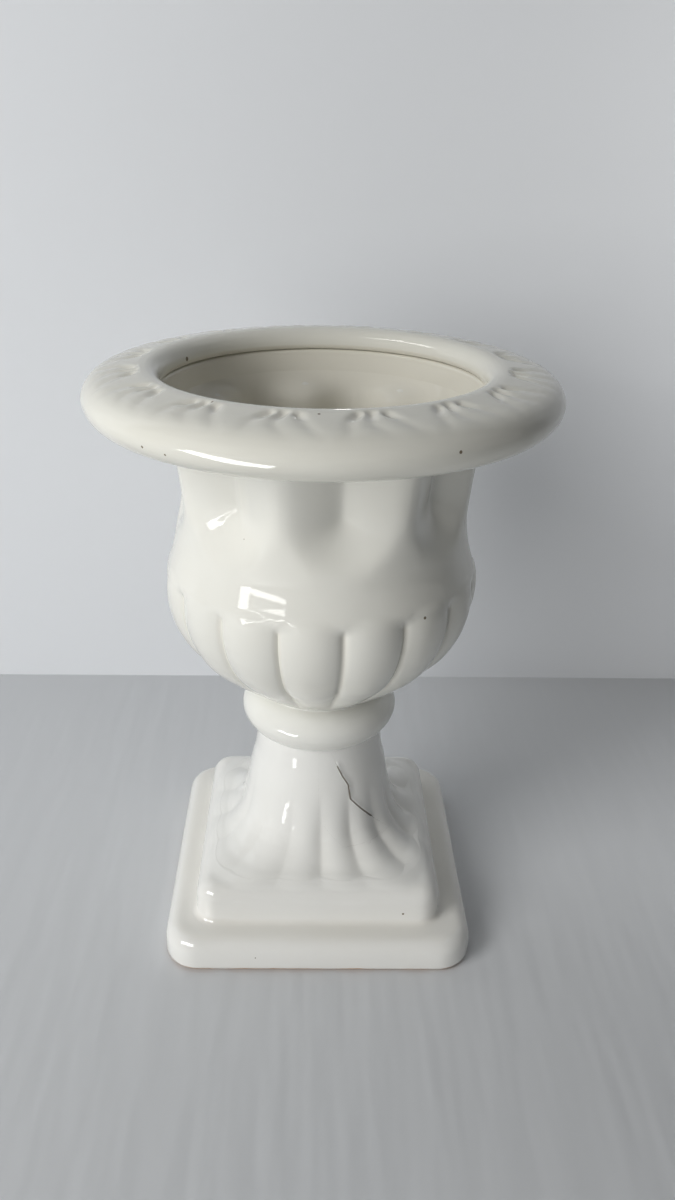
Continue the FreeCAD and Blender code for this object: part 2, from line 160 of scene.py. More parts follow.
# The camera and the glaze see a grey room, which gives hardly any light of its own.
room = bpy.data.worlds.new("room")
bpy.context.scene.world = room
room.use_nodes = True
around = room.node_tree
around.nodes.clear()
room_out = around.nodes.new("ShaderNodeOutputWorld")
room_fill = around.nodes.new("ShaderNodeBackground")
room_fill.inputs["Color"].default_value = (*ROOM_LIGHT, 1)
room_fill.inputs["Strength"].default_value = 0.02
room_seen = around.nodes.new("ShaderNodeBackground")
room_seen.inputs["Color"].default_value = (*ROOM_SEEN, 1)
room_seen.inputs["Strength"].default_value = 1.0
room_path = around.nodes.new("ShaderNodeLightPath")
seen_or_shone = math_node(around, "MAXIMUM")
seen_through = math_node(around, "MAXIMUM")
room_pick = around.nodes.new("ShaderNodeMixShader")
wire(
    around,
    (room_path.outputs["Is Camera Ray"], seen_or_shone.inputs[0]),
    (room_path.outputs["Is Glossy Ray"], seen_or_shone.inputs[1]),
    (seen_or_shone.outputs[0], seen_through.inputs[0]),
    (room_path.outputs["Is Transmission Ray"], seen_through.inputs[1]),
    (seen_through.outputs[0], room_pick.inputs["Fac"]),
    (room_fill.outputs[0], room_pick.inputs[1]),
    (room_seen.outputs[0], room_pick.inputs[2]),
    (room_pick.outputs[0], room_out.inputs["Surface"]),
)


def flat_lamp(name, width, height, power, tint):
    """A flat lamp that the camera doesn't see, still to be hung."""
    light = bpy.data.lights.new(name, "AREA")
    light.shape = "RECTANGLE"
    light.size, light.size_y = width, height
    light.energy = power
    light.color = tint
    lamp = bpy.data.objects.new(name, light)
    bpy.context.scene.collection.objects.link(lamp)
    lamp.visible_camera = False
    return lamp


def hang_lamp(name, turn, rise, away, width, height, power, tint):
    """Hangs a soft lamp turn degrees round from the front and rise degrees up, facing the urn. It
    gives the form its light and shade, and the glaze doesn't mirror it."""
    lamp = flat_lamp(name, width, height, power, tint)
    turn, rise = math.radians(turn), math.radians(rise)
    flat = math.cos(rise)
    back = Vector((math.sin(turn) * flat, -math.cos(turn) * flat, math.sin(rise)))
    lamp.location = Vector((0, 0, LAMP_AIM)) + back * away
    lamp.rotation_euler = back.to_track_quat("Z", "Y").to_euler()
    lamp.visible_glossy = False
    return lamp


hang_lamp("daylight", -34, 8, 1.8, 1.1, 0.8, 12.6, (1.0, 0.99, 0.965))
hang_lamp("upper_window", -55, 30, 1.8, 0.8, 0.8, 14.4, (0.99, 0.99, 0.98))
# A lamp of its own faces the wall and lifts its right side out of the shade.
wall_wash = hang_lamp("wall_wash", 98, 12, 0.42, 0.4, 0.5, 0.2, (1.0, 0.985, 0.96))
wall_wash.rotation_euler = (math.radians(62), 0, math.radians(12))

bpy.context.scene.view_settings.view_transform = "Standard"

# A camera held in the hand: nearly level with its sides, and pitched well down.
HEADING, PITCH, ROLL = -0.75, 26.07, 0.75
held_lens = bpy.data.cameras.new("camera")
held_lens.lens = 30.0
held_lens.sensor_width = 36.0
held_lens.shift_x = 17 / 1200  # pixels, in a picture 1200 high
camera = bpy.data.objects.new("camera", held_lens)
bpy.context.scene.collection.objects.link(camera)
bpy.context.scene.camera = camera
camera.location = (-0.0060, -0.4603, 0.4002)
camera.rotation_mode = "QUATERNION"
camera.rotation_quaternion = (
    Matrix.Rotation(math.radians(HEADING), 3, "Z")
    @ Matrix.Rotation(math.radians(90 - PITCH), 3, "X")
    @ Matrix.Rotation(math.radians(ROLL), 3, "Z")
).to_quaternion()

# ---------------------------------------------------------------------------
# Plinth: a hollow square casting in two tiers with bull-nosed edges, white glazed
# earthenware, open underneath, wiped back to bare clay where it stood in the kiln.
# ---------------------------------------------------------------------------
MM = 0.001
# Half widths, corners, roundings and levels, in mm.
LOWER_HALF, LOWER_CORNER, LOWER_ROUND = 79.9, 18, 8
UPPER_HALF, UPPER_CORNER, UPPER_ROUND = 67, 14, 9
FOOT_ROUND, COVE, STEP_LEVEL, DECK_LEVEL = 3, 3, 18, 38
FOOT_RING, HOLLOW_HALF, HOLLOW_STEP, HOLLOW_TOP = 71, 58, 12, 32
BORE_HALF, BORE_REACH = 46, 42
BODY_WHITE = (0.87, 0.87, 0.845)
BODY_SHADE = (0.82, 0.815, 0.775)
PLINTH_SHADE = (0.825, 0.81, 0.76)
PLINTH_PITS = [(34.8, 77.8, 24.2, 0.6)]
BARE_CLAY = (0.52, 0.33, 0.20)
IRON_SPOT = (0.20, 0.16, 0.11)
GLAZE_ROUGH, CLAY_ROUGH = 0.045, 0.8
WINDOW_TINT = (1.0, 0.985, 0.96)


def named_sockets(group, inputs, outputs):
    """Gives a shader group its named inputs and outputs."""
    for name, kind, value in inputs:
        socket = group.interface.new_socket(name=name, in_out="INPUT", socket_type=kind)
        if value is not None:
            socket.default_value = value
    for name, kind in outputs:
        group.interface.new_socket(name=name, in_out="OUTPUT", socket_type=kind)
    return group.nodes.new("NodeGroupInput"), group.nodes.new("NodeGroupOutput")


# How the white glaze varies: clouds of thickness, a greyer tone where it pooled, and painted shade
# where the insides of the bowl and rim take the greyer tone in full.
glaze_tone = bpy.data.node_groups.new("glaze_tone", "ShaderNodeTree")
tone_in, tone_out = named_sockets(
    glaze_tone,
    [
        ("Vector", "NodeSocketVector", None),
        ("White", "NodeSocketColor", (*BODY_WHITE, 1)),
        ("Shade", "NodeSocketColor", (*BODY_SHADE, 1)),
        ("Pooled_and_shaded", "NodeSocketFloat", 0.0),
    ],
    [("Color", "NodeSocketColor")],
)
clouds = noise_node(glaze_tone, 26, 3)
spread = math_node(glaze_tone, "MULTIPLY", 0.45)
gather = math_node(glaze_tone, "MULTIPLY_ADD", 0.8)
gather.use_clamp = True
blend = mix_node(glaze_tone)
wire(
    glaze_tone,
    (tone_in.outputs["Vector"], clouds.inputs["Vector"]),
    (clouds.outputs["Fac"], spread.inputs[0]),
    (tone_in.outputs["Pooled_and_shaded"], gather.inputs[0]),
    (spread.outputs[0], gather.inputs[2]),
    (gather.outputs[0], blend.inputs["Factor"]),
    (tone_in.outputs["White"], blend.inputs["A"]),
    (tone_in.outputs["Shade"], blend.inputs["B"]),
    (blend.outputs["Result"], tone_out.inputs["Color"]),
)

# Iron specks and pinholes in the glaze: a few small dark dots.
glaze_specks = bpy.data.node_groups.new("glaze_specks", "ShaderNodeTree")
speck_in, speck_out = named_sockets(
    glaze_specks,
    [
        ("Vector", "NodeSocketVector", None),
        ("Scale", "NodeSocketFloat", 34.0),
        ("Size", "NodeSocketFloat", 0.012),
    ],
    [("Mask", "NodeSocketFloat")],
)
cells = glaze_specks.nodes.new("ShaderNodeTexVoronoi")
few = glaze_specks.nodes.new("ShaderNodeSeparateColor")
chosen = math_node(glaze_specks, "GREATER_THAN", 0.86)
near = math_node(glaze_specks, "LESS_THAN")
dots = math_node(glaze_specks, "MULTIPLY")
wire(
    glaze_specks,
    (speck_in.outputs["Vector"], cells.inputs["Vector"]),
    (speck_in.outputs["Scale"], cells.inputs["Scale"]),
    (cells.outputs["Color"], few.inputs["Color"]),
    (few.outputs["Red"], chosen.inputs[0]),
    (cells.outputs["Distance"], near.inputs[0]),
    (speck_in.outputs["Size"], near.inputs[1]),
    (near.outputs[0], dots.inputs[0]),
    (chosen.outputs[0], dots.inputs[1]),
    (dots.outputs[0], speck_out.inputs["Mask"]),
)

# The fired glaze's own skin: broad soft ripples and a fine orange peel.
glaze_ripple = bpy.data.node_groups.new("glaze_ripple", "ShaderNodeTree")
ripple_in, ripple_out = named_sockets(
    glaze_ripple, [("Vector", "NodeSocketVector", None)], [("Height", "NodeSocketFloat")]
)
waves = noise_node(glaze_ripple, 55, 1)
peel = noise_node(glaze_ripple, 420, 1)
both = math_node(glaze_ripple, "MULTIPLY_ADD", 0.05)
wire(
    glaze_ripple,
    (ripple_in.outputs["Vector"], waves.inputs["Vector"]),
    (ripple_in.outputs["Vector"], peel.inputs["Vector"]),
    (peel.outputs["Fac"], both.inputs[0]),
    (waves.outputs["Fac"], both.inputs[2]),
    (both.outputs[0], ripple_out.inputs["Height"]),
)

# One pinhole or iron spot, at a place of its own.
glaze_pit = bpy.data.node_groups.new("glaze_pit", "ShaderNodeTree")
pit_in, pit_out = named_sockets(
    glaze_pit,
    [
        ("Vector", "NodeSocketVector", None),
        ("Place", "NodeSocketVector", None),
        ("Size", "NodeSocketFloat", 0.0006),
    ],
    [("Mask", "NodeSocketFloat")],
)
pit_far = glaze_pit.nodes.new("ShaderNodeVectorMath")
pit_far.operation = "DISTANCE"
pit_edge = math_node(glaze_pit, "LESS_THAN")
wire(
    glaze_pit,
    (pit_in.outputs["Vector"], pit_far.inputs[0]),
    (pit_in.outputs["Place"], pit_far.inputs[1]),
    (pit_far.outputs["Value"], pit_edge.inputs[0]),
    (pit_in.outputs["Size"], pit_edge.inputs[1]),
    (pit_edge.outputs[0], pit_out.inputs["Mask"]),
)


def group_node(tree, group, place, **values):
    """Uses a shader group at the skin's own place, with values for its other inputs."""
    node = tree.nodes.new("ShaderNodeGroup")
    node.node_tree = group
    for socket, value in values.items():
        node.inputs[socket].default_value = value
    tree.links.new(place, node.inputs["Vector"])
    return node


def range_node(tree, from_min, from_max, to_min, to_max):
    """Carries one span of numbers over to another in a shader."""
    span = tree.nodes.new("ShaderNodeMapRange")
    span.inputs["From Min"].default_value = from_min
    span.inputs["From Max"].default_value = from_max
    span.inputs["To Min"].default_value = to_min
    span.inputs["To Max"].default_value = to_max
    return span


def glaze_coat(name, white, shade, speck_size=0.012, pits=()):
    """One casting's coat of white glaze. Each of the pits is a turn, reach, level and size, in
    degrees and mm."""
    coat = bpy.data.materials.new(name)
    coat.use_nodes = True
    tree = coat.node_tree
    shader = tree.nodes["Principled BSDF"]
    shader.inputs["Roughness"].default_value = GLAZE_ROUGH
    shader.inputs["IOR"].default_value = 1.5
    place = tree.nodes.new("ShaderNodeTexCoord").outputs["Object"]
    pooled_and_shaded = tree.nodes.new("ShaderNodeAttribute")
    pooled_and_shaded.attribute_name = "pooled_and_shaded"
    tone = group_node(tree, glaze_tone, place, White=(*white, 1), Shade=(*shade, 1))
    specks = group_node(tree, glaze_specks, place, Size=speck_size)
    ripple = group_node(tree, glaze_ripple, place)
    dark = specks.outputs["Mask"]
    for turn, reach, level, size in pits:
        turn = math.radians(turn)
        spot = Vector((reach * math.sin(turn), -reach * math.cos(turn), level)) * MM
        pit = group_node(tree, glaze_pit, place, Place=spot, Size=size * MM)
        either = math_node(tree, "MAXIMUM")
        wire(tree, (dark, either.inputs[0]), (pit.outputs["Mask"], either.inputs[1]))
        dark = either.outputs[0]
    dotted = mix_node(tree, B=IRON_SPOT)
    dotted.name = "dotted"
    skin = tree.nodes.new("ShaderNodeBump")
    skin.inputs["Strength"].default_value = 0.035
    skin.inputs["Distance"].default_value = 0.002
    wire(
        tree,
        (pooled_and_shaded.outputs["Fac"], tone.inputs["Pooled_and_shaded"]),
        (tone.outputs["Color"], dotted.inputs["A"]),
        (dark, dotted.inputs["Factor"]),
        (dotted.outputs["Result"], shader.inputs["Base Color"]),
        (ripple.outputs["Height"], skin.inputs["Height"]),
        (skin.outputs["Normal"], shader.inputs["Normal"]),
    )
    return coat


def turn_of(place):
    """How far round the urn a place is, in degrees from the front, more than 0 on the right."""
    return math.degrees(math.atan2(place.x, -place.y))


Spot = namedtuple("Spot", "turn reach level up out")


def mark(piece, name, share):
    """Brushes a mask onto a casting. share gives 0 to 1 for a spot p of its skin: its turn in
    degrees, its reach and level in mm, and how far it looks up and outwards."""
    mask = piece.vertex_groups.new(name=name)
    for index, point in enumerate(piece.data.vertices):
        (x, y, z), (nx, ny, nz) = point.co, point.normal
        reach = math.hypot(x, y)
        out = (nx * x + ny * y) / max(reach, 1e-9)
        weight = float(share(Spot(turn_of(point.co), reach / MM, z / MM, nz, out)))
        if weight > 0.001:
            mask.add([index], min(weight, 1), "REPLACE")


def displace(piece, mask, strength, mid_level=0, texture=None):
    """Moves the masked skin of a casting out, all alike or after a texture."""
    put_down()
    bpy.context.view_layer.objects.active = piece
    bpy.ops.object.modifier_add(type="DISPLACE")
    tool = piece.modifiers[-1]
    tool.vertex_group = mask
    tool.texture = texture
    tool.mid_level = mid_level
    tool.strength = strength
    bpy.ops.object.modifier_apply(modifier=tool.name)


def slump(piece, mask, amount, size):
    """Lets a casting lose its machine-true shape a little, as soft clay does."""
    give = bpy.data.textures.new(piece.name + "_give", "CLOUDS")
    give.noise_scale = size
    give.noise_depth = 1
    displace(piece, mask, amount * MM, 0.5, give)


def note_pools_and_shade(piece, masks):
    """Keeps where the glaze gathers, and where shade is painted inside the mouth, for the coat to
    read.
    """
    pools = piece.data.attributes.new("pooled_and_shaded", "FLOAT", "POINT")
    shares = {piece.vertex_groups[name].index: share for name, share in masks.items()}
    for point in piece.data.vertices:
        pools.data[point.index].value = sum(
            shares[g.group] * g.weight for g in point.groups if g.group in shares
        )


def finish_casting(piece, coat, node):
    """Smooths a casting, coats it, and lets it stand for its node."""
    put_down()
    piece.select_set(True)
    bpy.context.view_layer.objects.active = piece
    bpy.ops.object.shade_smooth_by_angle(angle=math.radians(50))
    piece.data.materials.clear()
    piece.data.materials.append(coat)
    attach(piece, "root")
    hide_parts(node)


def hang_strip(name, casting, height, start, end, broad, glow):
    """The window's own shine: a bright strip between two points, broad across, that faces a height
    on one casting and is seen in its glaze only."""
    start, end = Vector(start), Vector(end)
    middle, length = (start + end) / 2, (end - start).length
    lamp = flat_lamp(name, length, broad, glow * length * broad * math.pi, WINDOW_TINT)
    along = (end - start).normalized()
    back = (middle - Vector((0, 0, height))).normalized()
    back = (back - along * back.dot(along)).normalized()
    lamp.location = middle
    lamp.rotation_euler = Matrix((along, back.cross(along), back)).transposed().to_euler()
    lamp.visible_diffuse = False
    only = bpy.data.collections.new(name + "_on")
    only.objects.link(casting)
    lamp.light_linking.receiver_collection = only


def rounded_square(half, corner, level):
    """Lays down a square of clay with rounded corners, its long sides divided, as one flat face."""
    put_down()
    bpy.ops.mesh.primitive_plane_add(size=2 * half * MM, location=(0, 0, level * MM))
    piece = bpy.context.object
    bpy.ops.object.transform_apply(location=True, rotation=False, scale=False)
    bpy.ops.object.mode_set(mode="EDIT")
    bpy.ops.mesh.select_all(action="SELECT")
    bpy.ops.mesh.bevel(offset=corner * MM, segments=12, affect="VERTICES")
    bpy.ops.mesh.select_all(action="SELECT")
    bpy.ops.mesh.delete(type="ONLY_FACE")
    bpy.ops.object.mode_set(mode="OBJECT")
    for edge in piece.data.edges:
        ends = [piece.data.vertices[v].co for v in edge.vertices]
        edge.select = (ends[0] - ends[1]).length > half * MM
    bpy.ops.object.mode_set(mode="EDIT")
    bpy.ops.mesh.select_mode(type="EDGE")
    bpy.ops.mesh.subdivide(number_cuts=27)
    bpy.ops.mesh.select_all(action="SELECT")
    bpy.ops.mesh.edge_face_add()
    bpy.ops.mesh.select_mode(type="FACE")
    return piece


def pick_face(piece, level, looks):
    """Selects the one big flat face at a level that looks up, 1, or down, -1."""
    bpy.ops.object.mode_set(mode="OBJECT")
    for part in (piece.data.vertices, piece.data.edges, piece.data.polygons):
        for each in part:
            each.select = False
    for face in piece.data.polygons:
        flat = abs(face.center.z - level * MM) < 1e-5 and len(face.vertices) > 20
        face.select = flat and face.normal.z * looks > 0.9
    bpy.ops.object.mode_set(mode="EDIT")
    bpy.ops.mesh.select_mode(type="FACE")


def raise_face(height):
    """Pulls the selected face straight up, in mm."""
    bpy.ops.mesh.extrude_region_move(TRANSFORM_OT_translate={"value": (0, 0, height * MM)})


def draw_in(from_half, to_half):
    """Carries the selected face straight in, keeping the shape of its corners."""
    bpy.ops.mesh.extrude_region_move(TRANSFORM_OT_translate={"value": (0, 0, 0)})
    shrunk = to_half / from_half
    bpy.ops.transform.resize(value=(shrunk, shrunk, 1))


def round_over(radius, steps=7, hollow=False):
    """Carries the selected face in over a quarter-round edge; hollow turns it into a cove."""
    angles = [math.pi / 2 * i / steps for i in range(steps + 1)]
    for low, high in zip(angles, angles[1:]):
        inward = radius * (math.cos(low) - math.cos(high))
        onward = radius * (math.sin(high) - math.sin(low))
        if hollow:
            inward, onward = onward, inward
        bpy.ops.mesh.inset(thickness=inward * MM, depth=onward * MM, use_even_offset=True)


def bridge(piece, chosen):
    """Joins two open rims of clay; chosen(middle of an edge, in mm) picks them."""
    bpy.ops.object.mode_set(mode="OBJECT")
    work = bmesh.new()
    work.from_mesh(piece.data)
    for part in (work.verts, work.edges, work.faces):
        for each in part:
            each.select = False
    for edge in work.edges:
        if len(edge.link_faces) == 1:
            middle = (edge.verts[0].co + edge.verts[1].co) / 2 / MM
            if chosen(middle):
                edge.select = True
                edge.verts[0].select = edge.verts[1].select = True
    work.to_mesh(piece.data)
    work.free()
    bpy.ops.object.mode_set(mode="EDIT")
    bpy.ops.mesh.select_mode(type="EDGE")
    bpy.ops.mesh.bridge_edge_loops()


# The lower tier, outside and then inside, up to the hollow's top.
plinth = rounded_square(LOWER_HALF, LOWER_CORNER, FOOT_ROUND)
plinth.name = "plinth_casting"
raise_face(STEP_LEVEL - LOWER_ROUND - FOOT_ROUND)
round_over(LOWER_ROUND)
bpy.ops.mesh.inset(thickness=2 * MM, depth=0)
pick_face(plinth, FOOT_ROUND, -1)
round_over(FOOT_ROUND, 4)
draw_in(LOWER_HALF - FOOT_ROUND, FOOT_RING)
raise_face(HOLLOW_STEP)
draw_in(FOOT_RING, HOLLOW_HALF)
raise_face(HOLLOW_TOP - HOLLOW_STEP)
draw_in(HOLLOW_HALF, BORE_HALF)
pick_face(plinth, STEP_LEVEL, 1)
bpy.ops.mesh.delete(type="FACE")

# The upper tier, out of a cove up to the deck.
upper_tier = rounded_square(UPPER_HALF, UPPER_CORNER, STEP_LEVEL)
round_over(COVE, 4, hollow=True)
raise_face(DECK_LEVEL - UPPER_ROUND - COVE - STEP_LEVEL)
round_over(UPPER_ROUND, 9)
draw_in(UPPER_HALF - COVE - UPPER_ROUND, BORE_HALF)
bpy.ops.mesh.select_all(action="SELECT")
bpy.ops.mesh.normals_make_consistent(inside=False)
pick_face(upper_tier, STEP_LEVEL, -1)
bpy.ops.mesh.delete(type="ONLY_FACE")

put_down()
upper_tier.select_set(True)
plinth.select_set(True)
bpy.context.view_layer.objects.active = plinth
bpy.ops.object.join()
bridge(plinth, lambda middle: abs(middle.z - STEP_LEVEL) < 0.1)

# The stem's bore opens through the deck into the hollow underneath.
for level, looks in ((DECK_LEVEL, 1), (HOLLOW_TOP, -1)):
    pick_face(plinth, level, looks)
    bpy.ops.mesh.delete(type="FACE")
bpy.ops.object.mode_set(mode="OBJECT")
for point in plinth.data.vertices:
    x, y, z = point.co / MM
    if max(abs(x), abs(y)) < BORE_HALF + 1.5 and z > HOLLOW_TOP - 1:
        grown = BORE_REACH / math.hypot(x, y)
        point.co.x *= grown
        point.co.y *= grown
bridge(plinth, lambda middle: middle.xy.length < BORE_REACH + 8 and middle.z > HOLLOW_TOP - 2)
bpy.ops.mesh.select_all(action="SELECT")
bpy.ops.mesh.normals_make_consistent(inside=False)
put_down()
mark(
    plinth,
    "sides",
    lambda p: min(1, max(0, p.level - 2) / 8) * (p.level < DECK_LEVEL - 1 or p.reach > 60),
)
slump(plinth, "sides", 0.7, 0.05)
mark(plinth, "pools", lambda p: max(0, 1 - abs(p.level - STEP_LEVEL - 0.5) / 2.5) * (p.reach < 100))
note_pools_and_shade(plinth, {"pools": 0.9})

# The glaze was wiped off the foot along a slightly ragged line.
plinth_glaze = glaze_coat("plinth_glaze", BODY_WHITE, PLINTH_SHADE, pits=PLINTH_PITS)
foot = plinth_glaze.node_tree
heights = foot.nodes.new("ShaderNodeSeparateXYZ")
ragged = noise_node(foot, 60, 2)
where = foot.nodes.new("ShaderNodeTexCoord")
lifted = math_node(foot, "MULTIPLY_ADD", -0.004)
wiped = range_node(foot, 0, -0.0005, 0, 1)
clay = mix_node(foot, B=BARE_CLAY)
dry = range_node(foot, 0, 1, GLAZE_ROUGH, CLAY_ROUGH)
foot_shader = foot.nodes["Principled BSDF"]
wire(
    foot,
    (where.outputs["Object"], heights.inputs["Vector"]),
    (where.outputs["Object"], ragged.inputs["Vector"]),
    (ragged.outputs["Fac"], lifted.inputs[0]),
    (heights.outputs["Z"], lifted.inputs[2]),
    (lifted.outputs[0], wiped.inputs["Value"]),
    (wiped.outputs["Result"], clay.inputs["Factor"]),
    (foot.nodes["dotted"].outputs["Result"], clay.inputs["A"]),
    (clay.outputs["Result"], foot_shader.inputs["Base Color"]),
    (wiped.outputs["Result"], dry.inputs["Value"]),
    (dry.outputs["Result"], foot_shader.inputs["Roughness"]),
)
finish_casting(plinth, plinth_glaze, "plinth")
hang_strip("corner_shine", plinth, 0.02, (-0.85, -0.43, 0.54), (-0.36, -0.88, 0.67), 0.28, 20)

# ---------------------------------------------------------------------------
# Stem slip: the bead of casting slip that lutes the stem's foot to the deck. It
# follows the leafed outline of the foot and is glazed over with the rest.
# ---------------------------------------------------------------------------
# How many leaves, the turn of one valley between them, and mm cut in between their tips.
LEAVES, VALLEY_TURN, LEAF_TIPS = 16, 1.7, 1.2
WELD = 2e-6  # metres within which points of a turned casting become one
# How square the stem's outline is at each level in mm: a power of 2 is a circle.
SQUARE_BY_LEVEL = [
    (38, 6.6), (40, 4.7), (42, 3.6), (45, 2.95), (50, 2.38), (55, 2.18), (60, 2.1), (78, 2.0),
    (110, 2.0),
]


def lathe(name, section, steps, fineness, closed=True):
    """Draws a casting's section as one smooth line and turns it about the urn's axis. The section's
    points are a reach and a level in mm, with a V where the line has a corner."""
    put_down()
    bpy.ops.curve.primitive_bezier_curve_add(location=(0, 0, 0))
    drawn = bpy.context.object
    drawn.data.dimensions = "3D"
    line = drawn.data.splines[0]
    line.bezier_points.add(len(section) - 2)
    line.use_cyclic_u = closed
    drawn.data.resolution_u = fineness
    for point, (reach, level, *corner) in zip(line.bezier_points, section):
        kind = "VECTOR" if corner else "AUTO"
        point.handle_left_type = point.handle_right_type = kind
        point.co = (reach * MM, 0, level * MM)
    bpy.ops.object.convert(target="MESH")
    drawn.name = name
    bpy.ops.object.modifier_add(type="SCREW")
    turntable = drawn.modifiers[-1]
    turntable.axis = "Z"
    turntable.angle = 2 * math.pi
    turntable.steps = turntable.render_steps = steps
    turntable.use_merge_vertices = True
    turntable.merge_threshold = WELD
    bpy.ops.object.modifier_apply(modifier=turntable.name)
    bpy.ops.object.mode_set(mode="EDIT")
    bpy.ops.mesh.select_all(action="SELECT")
    bpy.ops.mesh.remove_doubles(threshold=WELD)
    bpy.ops.mesh.normals_make_consistent(inside=False)
    bpy.ops.object.mode_set(mode="OBJECT")
    return drawn


def eased(value, start, end):
    """0 before start, 1 past end, and a soft step between."""
    t = min(1, max(0, (value - start) / (end - start)))
    return t * t * (3 - 2 * t)


def off_nearest(turn, first, count):
    """Degrees to the nearest of count places set evenly round the urn, one of them at first."""
    apart = 360 / count
    return (turn - first + apart / 2) % apart - apart / 2


def foot_shape(turn, level):
    """How far the stem's outline leaves its circle: square at the foot and round higher up."""
    for (low, power), (high, next_power) in zip(SQUARE_BY_LEVEL, SQUARE_BY_LEVEL[1:]):
        if level <= high:
            share = min(1, max(0, (level - low) / (high - low)))
            power += (next_power - power) * share
            break
    c, s = abs(math.cos(math.radians(turn))), abs(math.sin(math.radians(turn)))
    return (c**power + s**power) ** (-1 / power)


def leaf_valley(turn):
    """0 on the crown of a leaf lobe, 1 in the valley between two of them."""
    across = off_nearest(turn, VALLEY_TURN, LEAVES) / (360 / LEAVES)
    crown = math.sqrt(math.sin(math.pi * across) ** 2 + 0.03)
    return (1.015 - crown) / 0.842


def shape_foot(piece):
    """Squares the foot and cuts the rounded leaf tips into its outline."""
    for point in piece.data.vertices:
        turn, level = turn_of(point.co), point.co.z / MM
        grown = foot_shape(turn, level)
        reach = point.co.xy.length / MM * grown
        grown *= 1 - LEAF_TIPS * leaf_valley(turn) * (1 - eased(level, 39, 46)) / reach
        point.co.x *= grown
        point.co.y *= grown


stem_slip = lathe(
    "stem_slip_bead",
    [
        (53, 37.9, "V"), (61.2, 38.0, "V"), (59.2, 38.3), (57.7, 38.8), (56.4, 39.7, "V"),
        (53, 39.8, "V"),
    ],
    384,
    4,
)
mark(stem_slip, "edge", lambda p: eased(p.reach, 57.5, 60.8))
shape_foot(stem_slip)
# The bead's outer edge is smoothed down on to the deck and its rounded shoulder.
put_down()
bpy.context.view_layer.objects.active = stem_slip
bpy.ops.object.modifier_add(type="SHRINKWRAP")
fingertip = stem_slip.modifiers[-1]
fingertip.target = plinth
fingertip.wrap_method = "PROJECT"
fingertip.use_project_z = True
fingertip.use_negative_direction = True
fingertip.use_positive_direction = True
fingertip.project_limit = 6 * MM
fingertip.vertex_group = "edge"
fingertip.offset = 0.02 * MM
bpy.ops.object.modifier_apply(modifier=fingertip.name)
slip_glaze = glaze_coat("slip_glaze", BODY_WHITE, BODY_SHADE, 0)
finish_casting(stem_slip, slip_glaze, "stem_slip")

# ---------------------------------------------------------------------------
# Stem: a hollow casting, round under the knop and flaring to a square foot, with
# sixteen rounded leaves running down it. A hair crack runs down its front right.
# ---------------------------------------------------------------------------
SOFT_SIDE = -65  # the turn at which the leaves came out of the mould softest
# The hair crack, as turn and level down its length. Its right lip has lifted a little.
CRACK = [(16.2, 95.0), (20.5, 88.8), (25.2, 83.4), (26.0, 75.4), (35.2, 67.6), (44.0, 60.6)]
CRACK_DARK = (0.13, 0.11, 0.09)
AROUND = 0.66  # mm round the stem for each degree
CRACK_CLEAR = 20.0  # mm, where the crack is too far off to matter
LIP_WIDE = 4  # mm
stem = lathe(
    "stem_casting",
    [
        (33.0, 104.9, "V"), (33.15, 102), (33.6, 96), (34.3, 90), (35.7, 84), (37.2, 78),
        (38.4, 72), (39.3, 67), (40.6, 61), (42.2, 55), (44.4, 50), (47.8, 45), (51.3, 42),
        (54.8, 40.4), (56.6, 39.3), (57.0, 38.6, "V"), (42.0, 38.6, "V"), (40, 43), (37, 50),
        (34.5, 58), (32.6, 68), (30.6, 80), (28.2, 94), (27.0, 104.9, "V"),
    ],
    512,
    6,
)
shape_foot(stem)


def press(piece, mask, depth):
    """Sinks the masked skin of a casting by depth in mm, or raises it where depth is negative."""
    displace(piece, mask, -depth * MM)


def within(value, start, full, fade, end):
    """0 outside start and end, 1 from full to fade, and a soft step on either side."""
    return eased(value, start, full) * (1 - eased(value, fade, end))


def fluted(p):
    """The valleys between the leaves, on the outside of the flare, softer on one side."""
    crisp = 0.35 + 0.65 * eased(abs(off_nearest(p.turn, SOFT_SIDE, 1)), 38, 78)
    strong = (0.45 + 0.55 * eased(p.level, 39, 44)) * (1 - eased(p.level, 52, 86))
    wall_inside = 31 + 8 * (1 - eased(p.level, 50, 100))
    return leaf_valley(p.turn) * crisp * strong * eased(p.reach, wall_inside, wall_inside + 3)


mark(stem, "valleys", fluted)
press(stem, "valleys", 1.6)
mark(stem, "soft", lambda p: within(p.level, 41, 60, 98, 104))
slump(stem, "soft", 0.6, 0.04)
note_pools_and_shade(stem, {"valleys": 0.5})

crack_line = [Vector((turn * AROUND, level)) for turn, level in CRACK]


def crack_off(turn, level):
    """How far a spot is from the crack in mm, more than 0 on its right."""
    spot = Vector((turn * AROUND, level))
    nearest, side = CRACK_CLEAR, 1
    for start, end in zip(crack_line, crack_line[1:]):
        along = end - start
        t = min(1, max(0, (spot - start).dot(along) / along.length_squared))
        away = spot - start - along * t
        if away.length < nearest:
            nearest = away.length
            side = 1 if along.cross(away) > 0 else -1
    return nearest * side


crack_side = stem.data.attributes.new("crack", "FLOAT", "POINT")
lip = stem.vertex_groups.new(name="lip")
for index, point in enumerate(stem.data.vertices):
    crack_side.data[index].value = CRACK_CLEAR
    x, y, z = point.co / MM
    if z > 50 and y < -15 and x > 0 and math.hypot(x, y) > 33:
        off = crack_off(turn_of(point.co), z)
        crack_side.data[index].value = off
        if 0 < off < LIP_WIDE:
            lip.add([index], (1 - off / LIP_WIDE) ** 2, "REPLACE")
press(stem, "lip", -0.7)

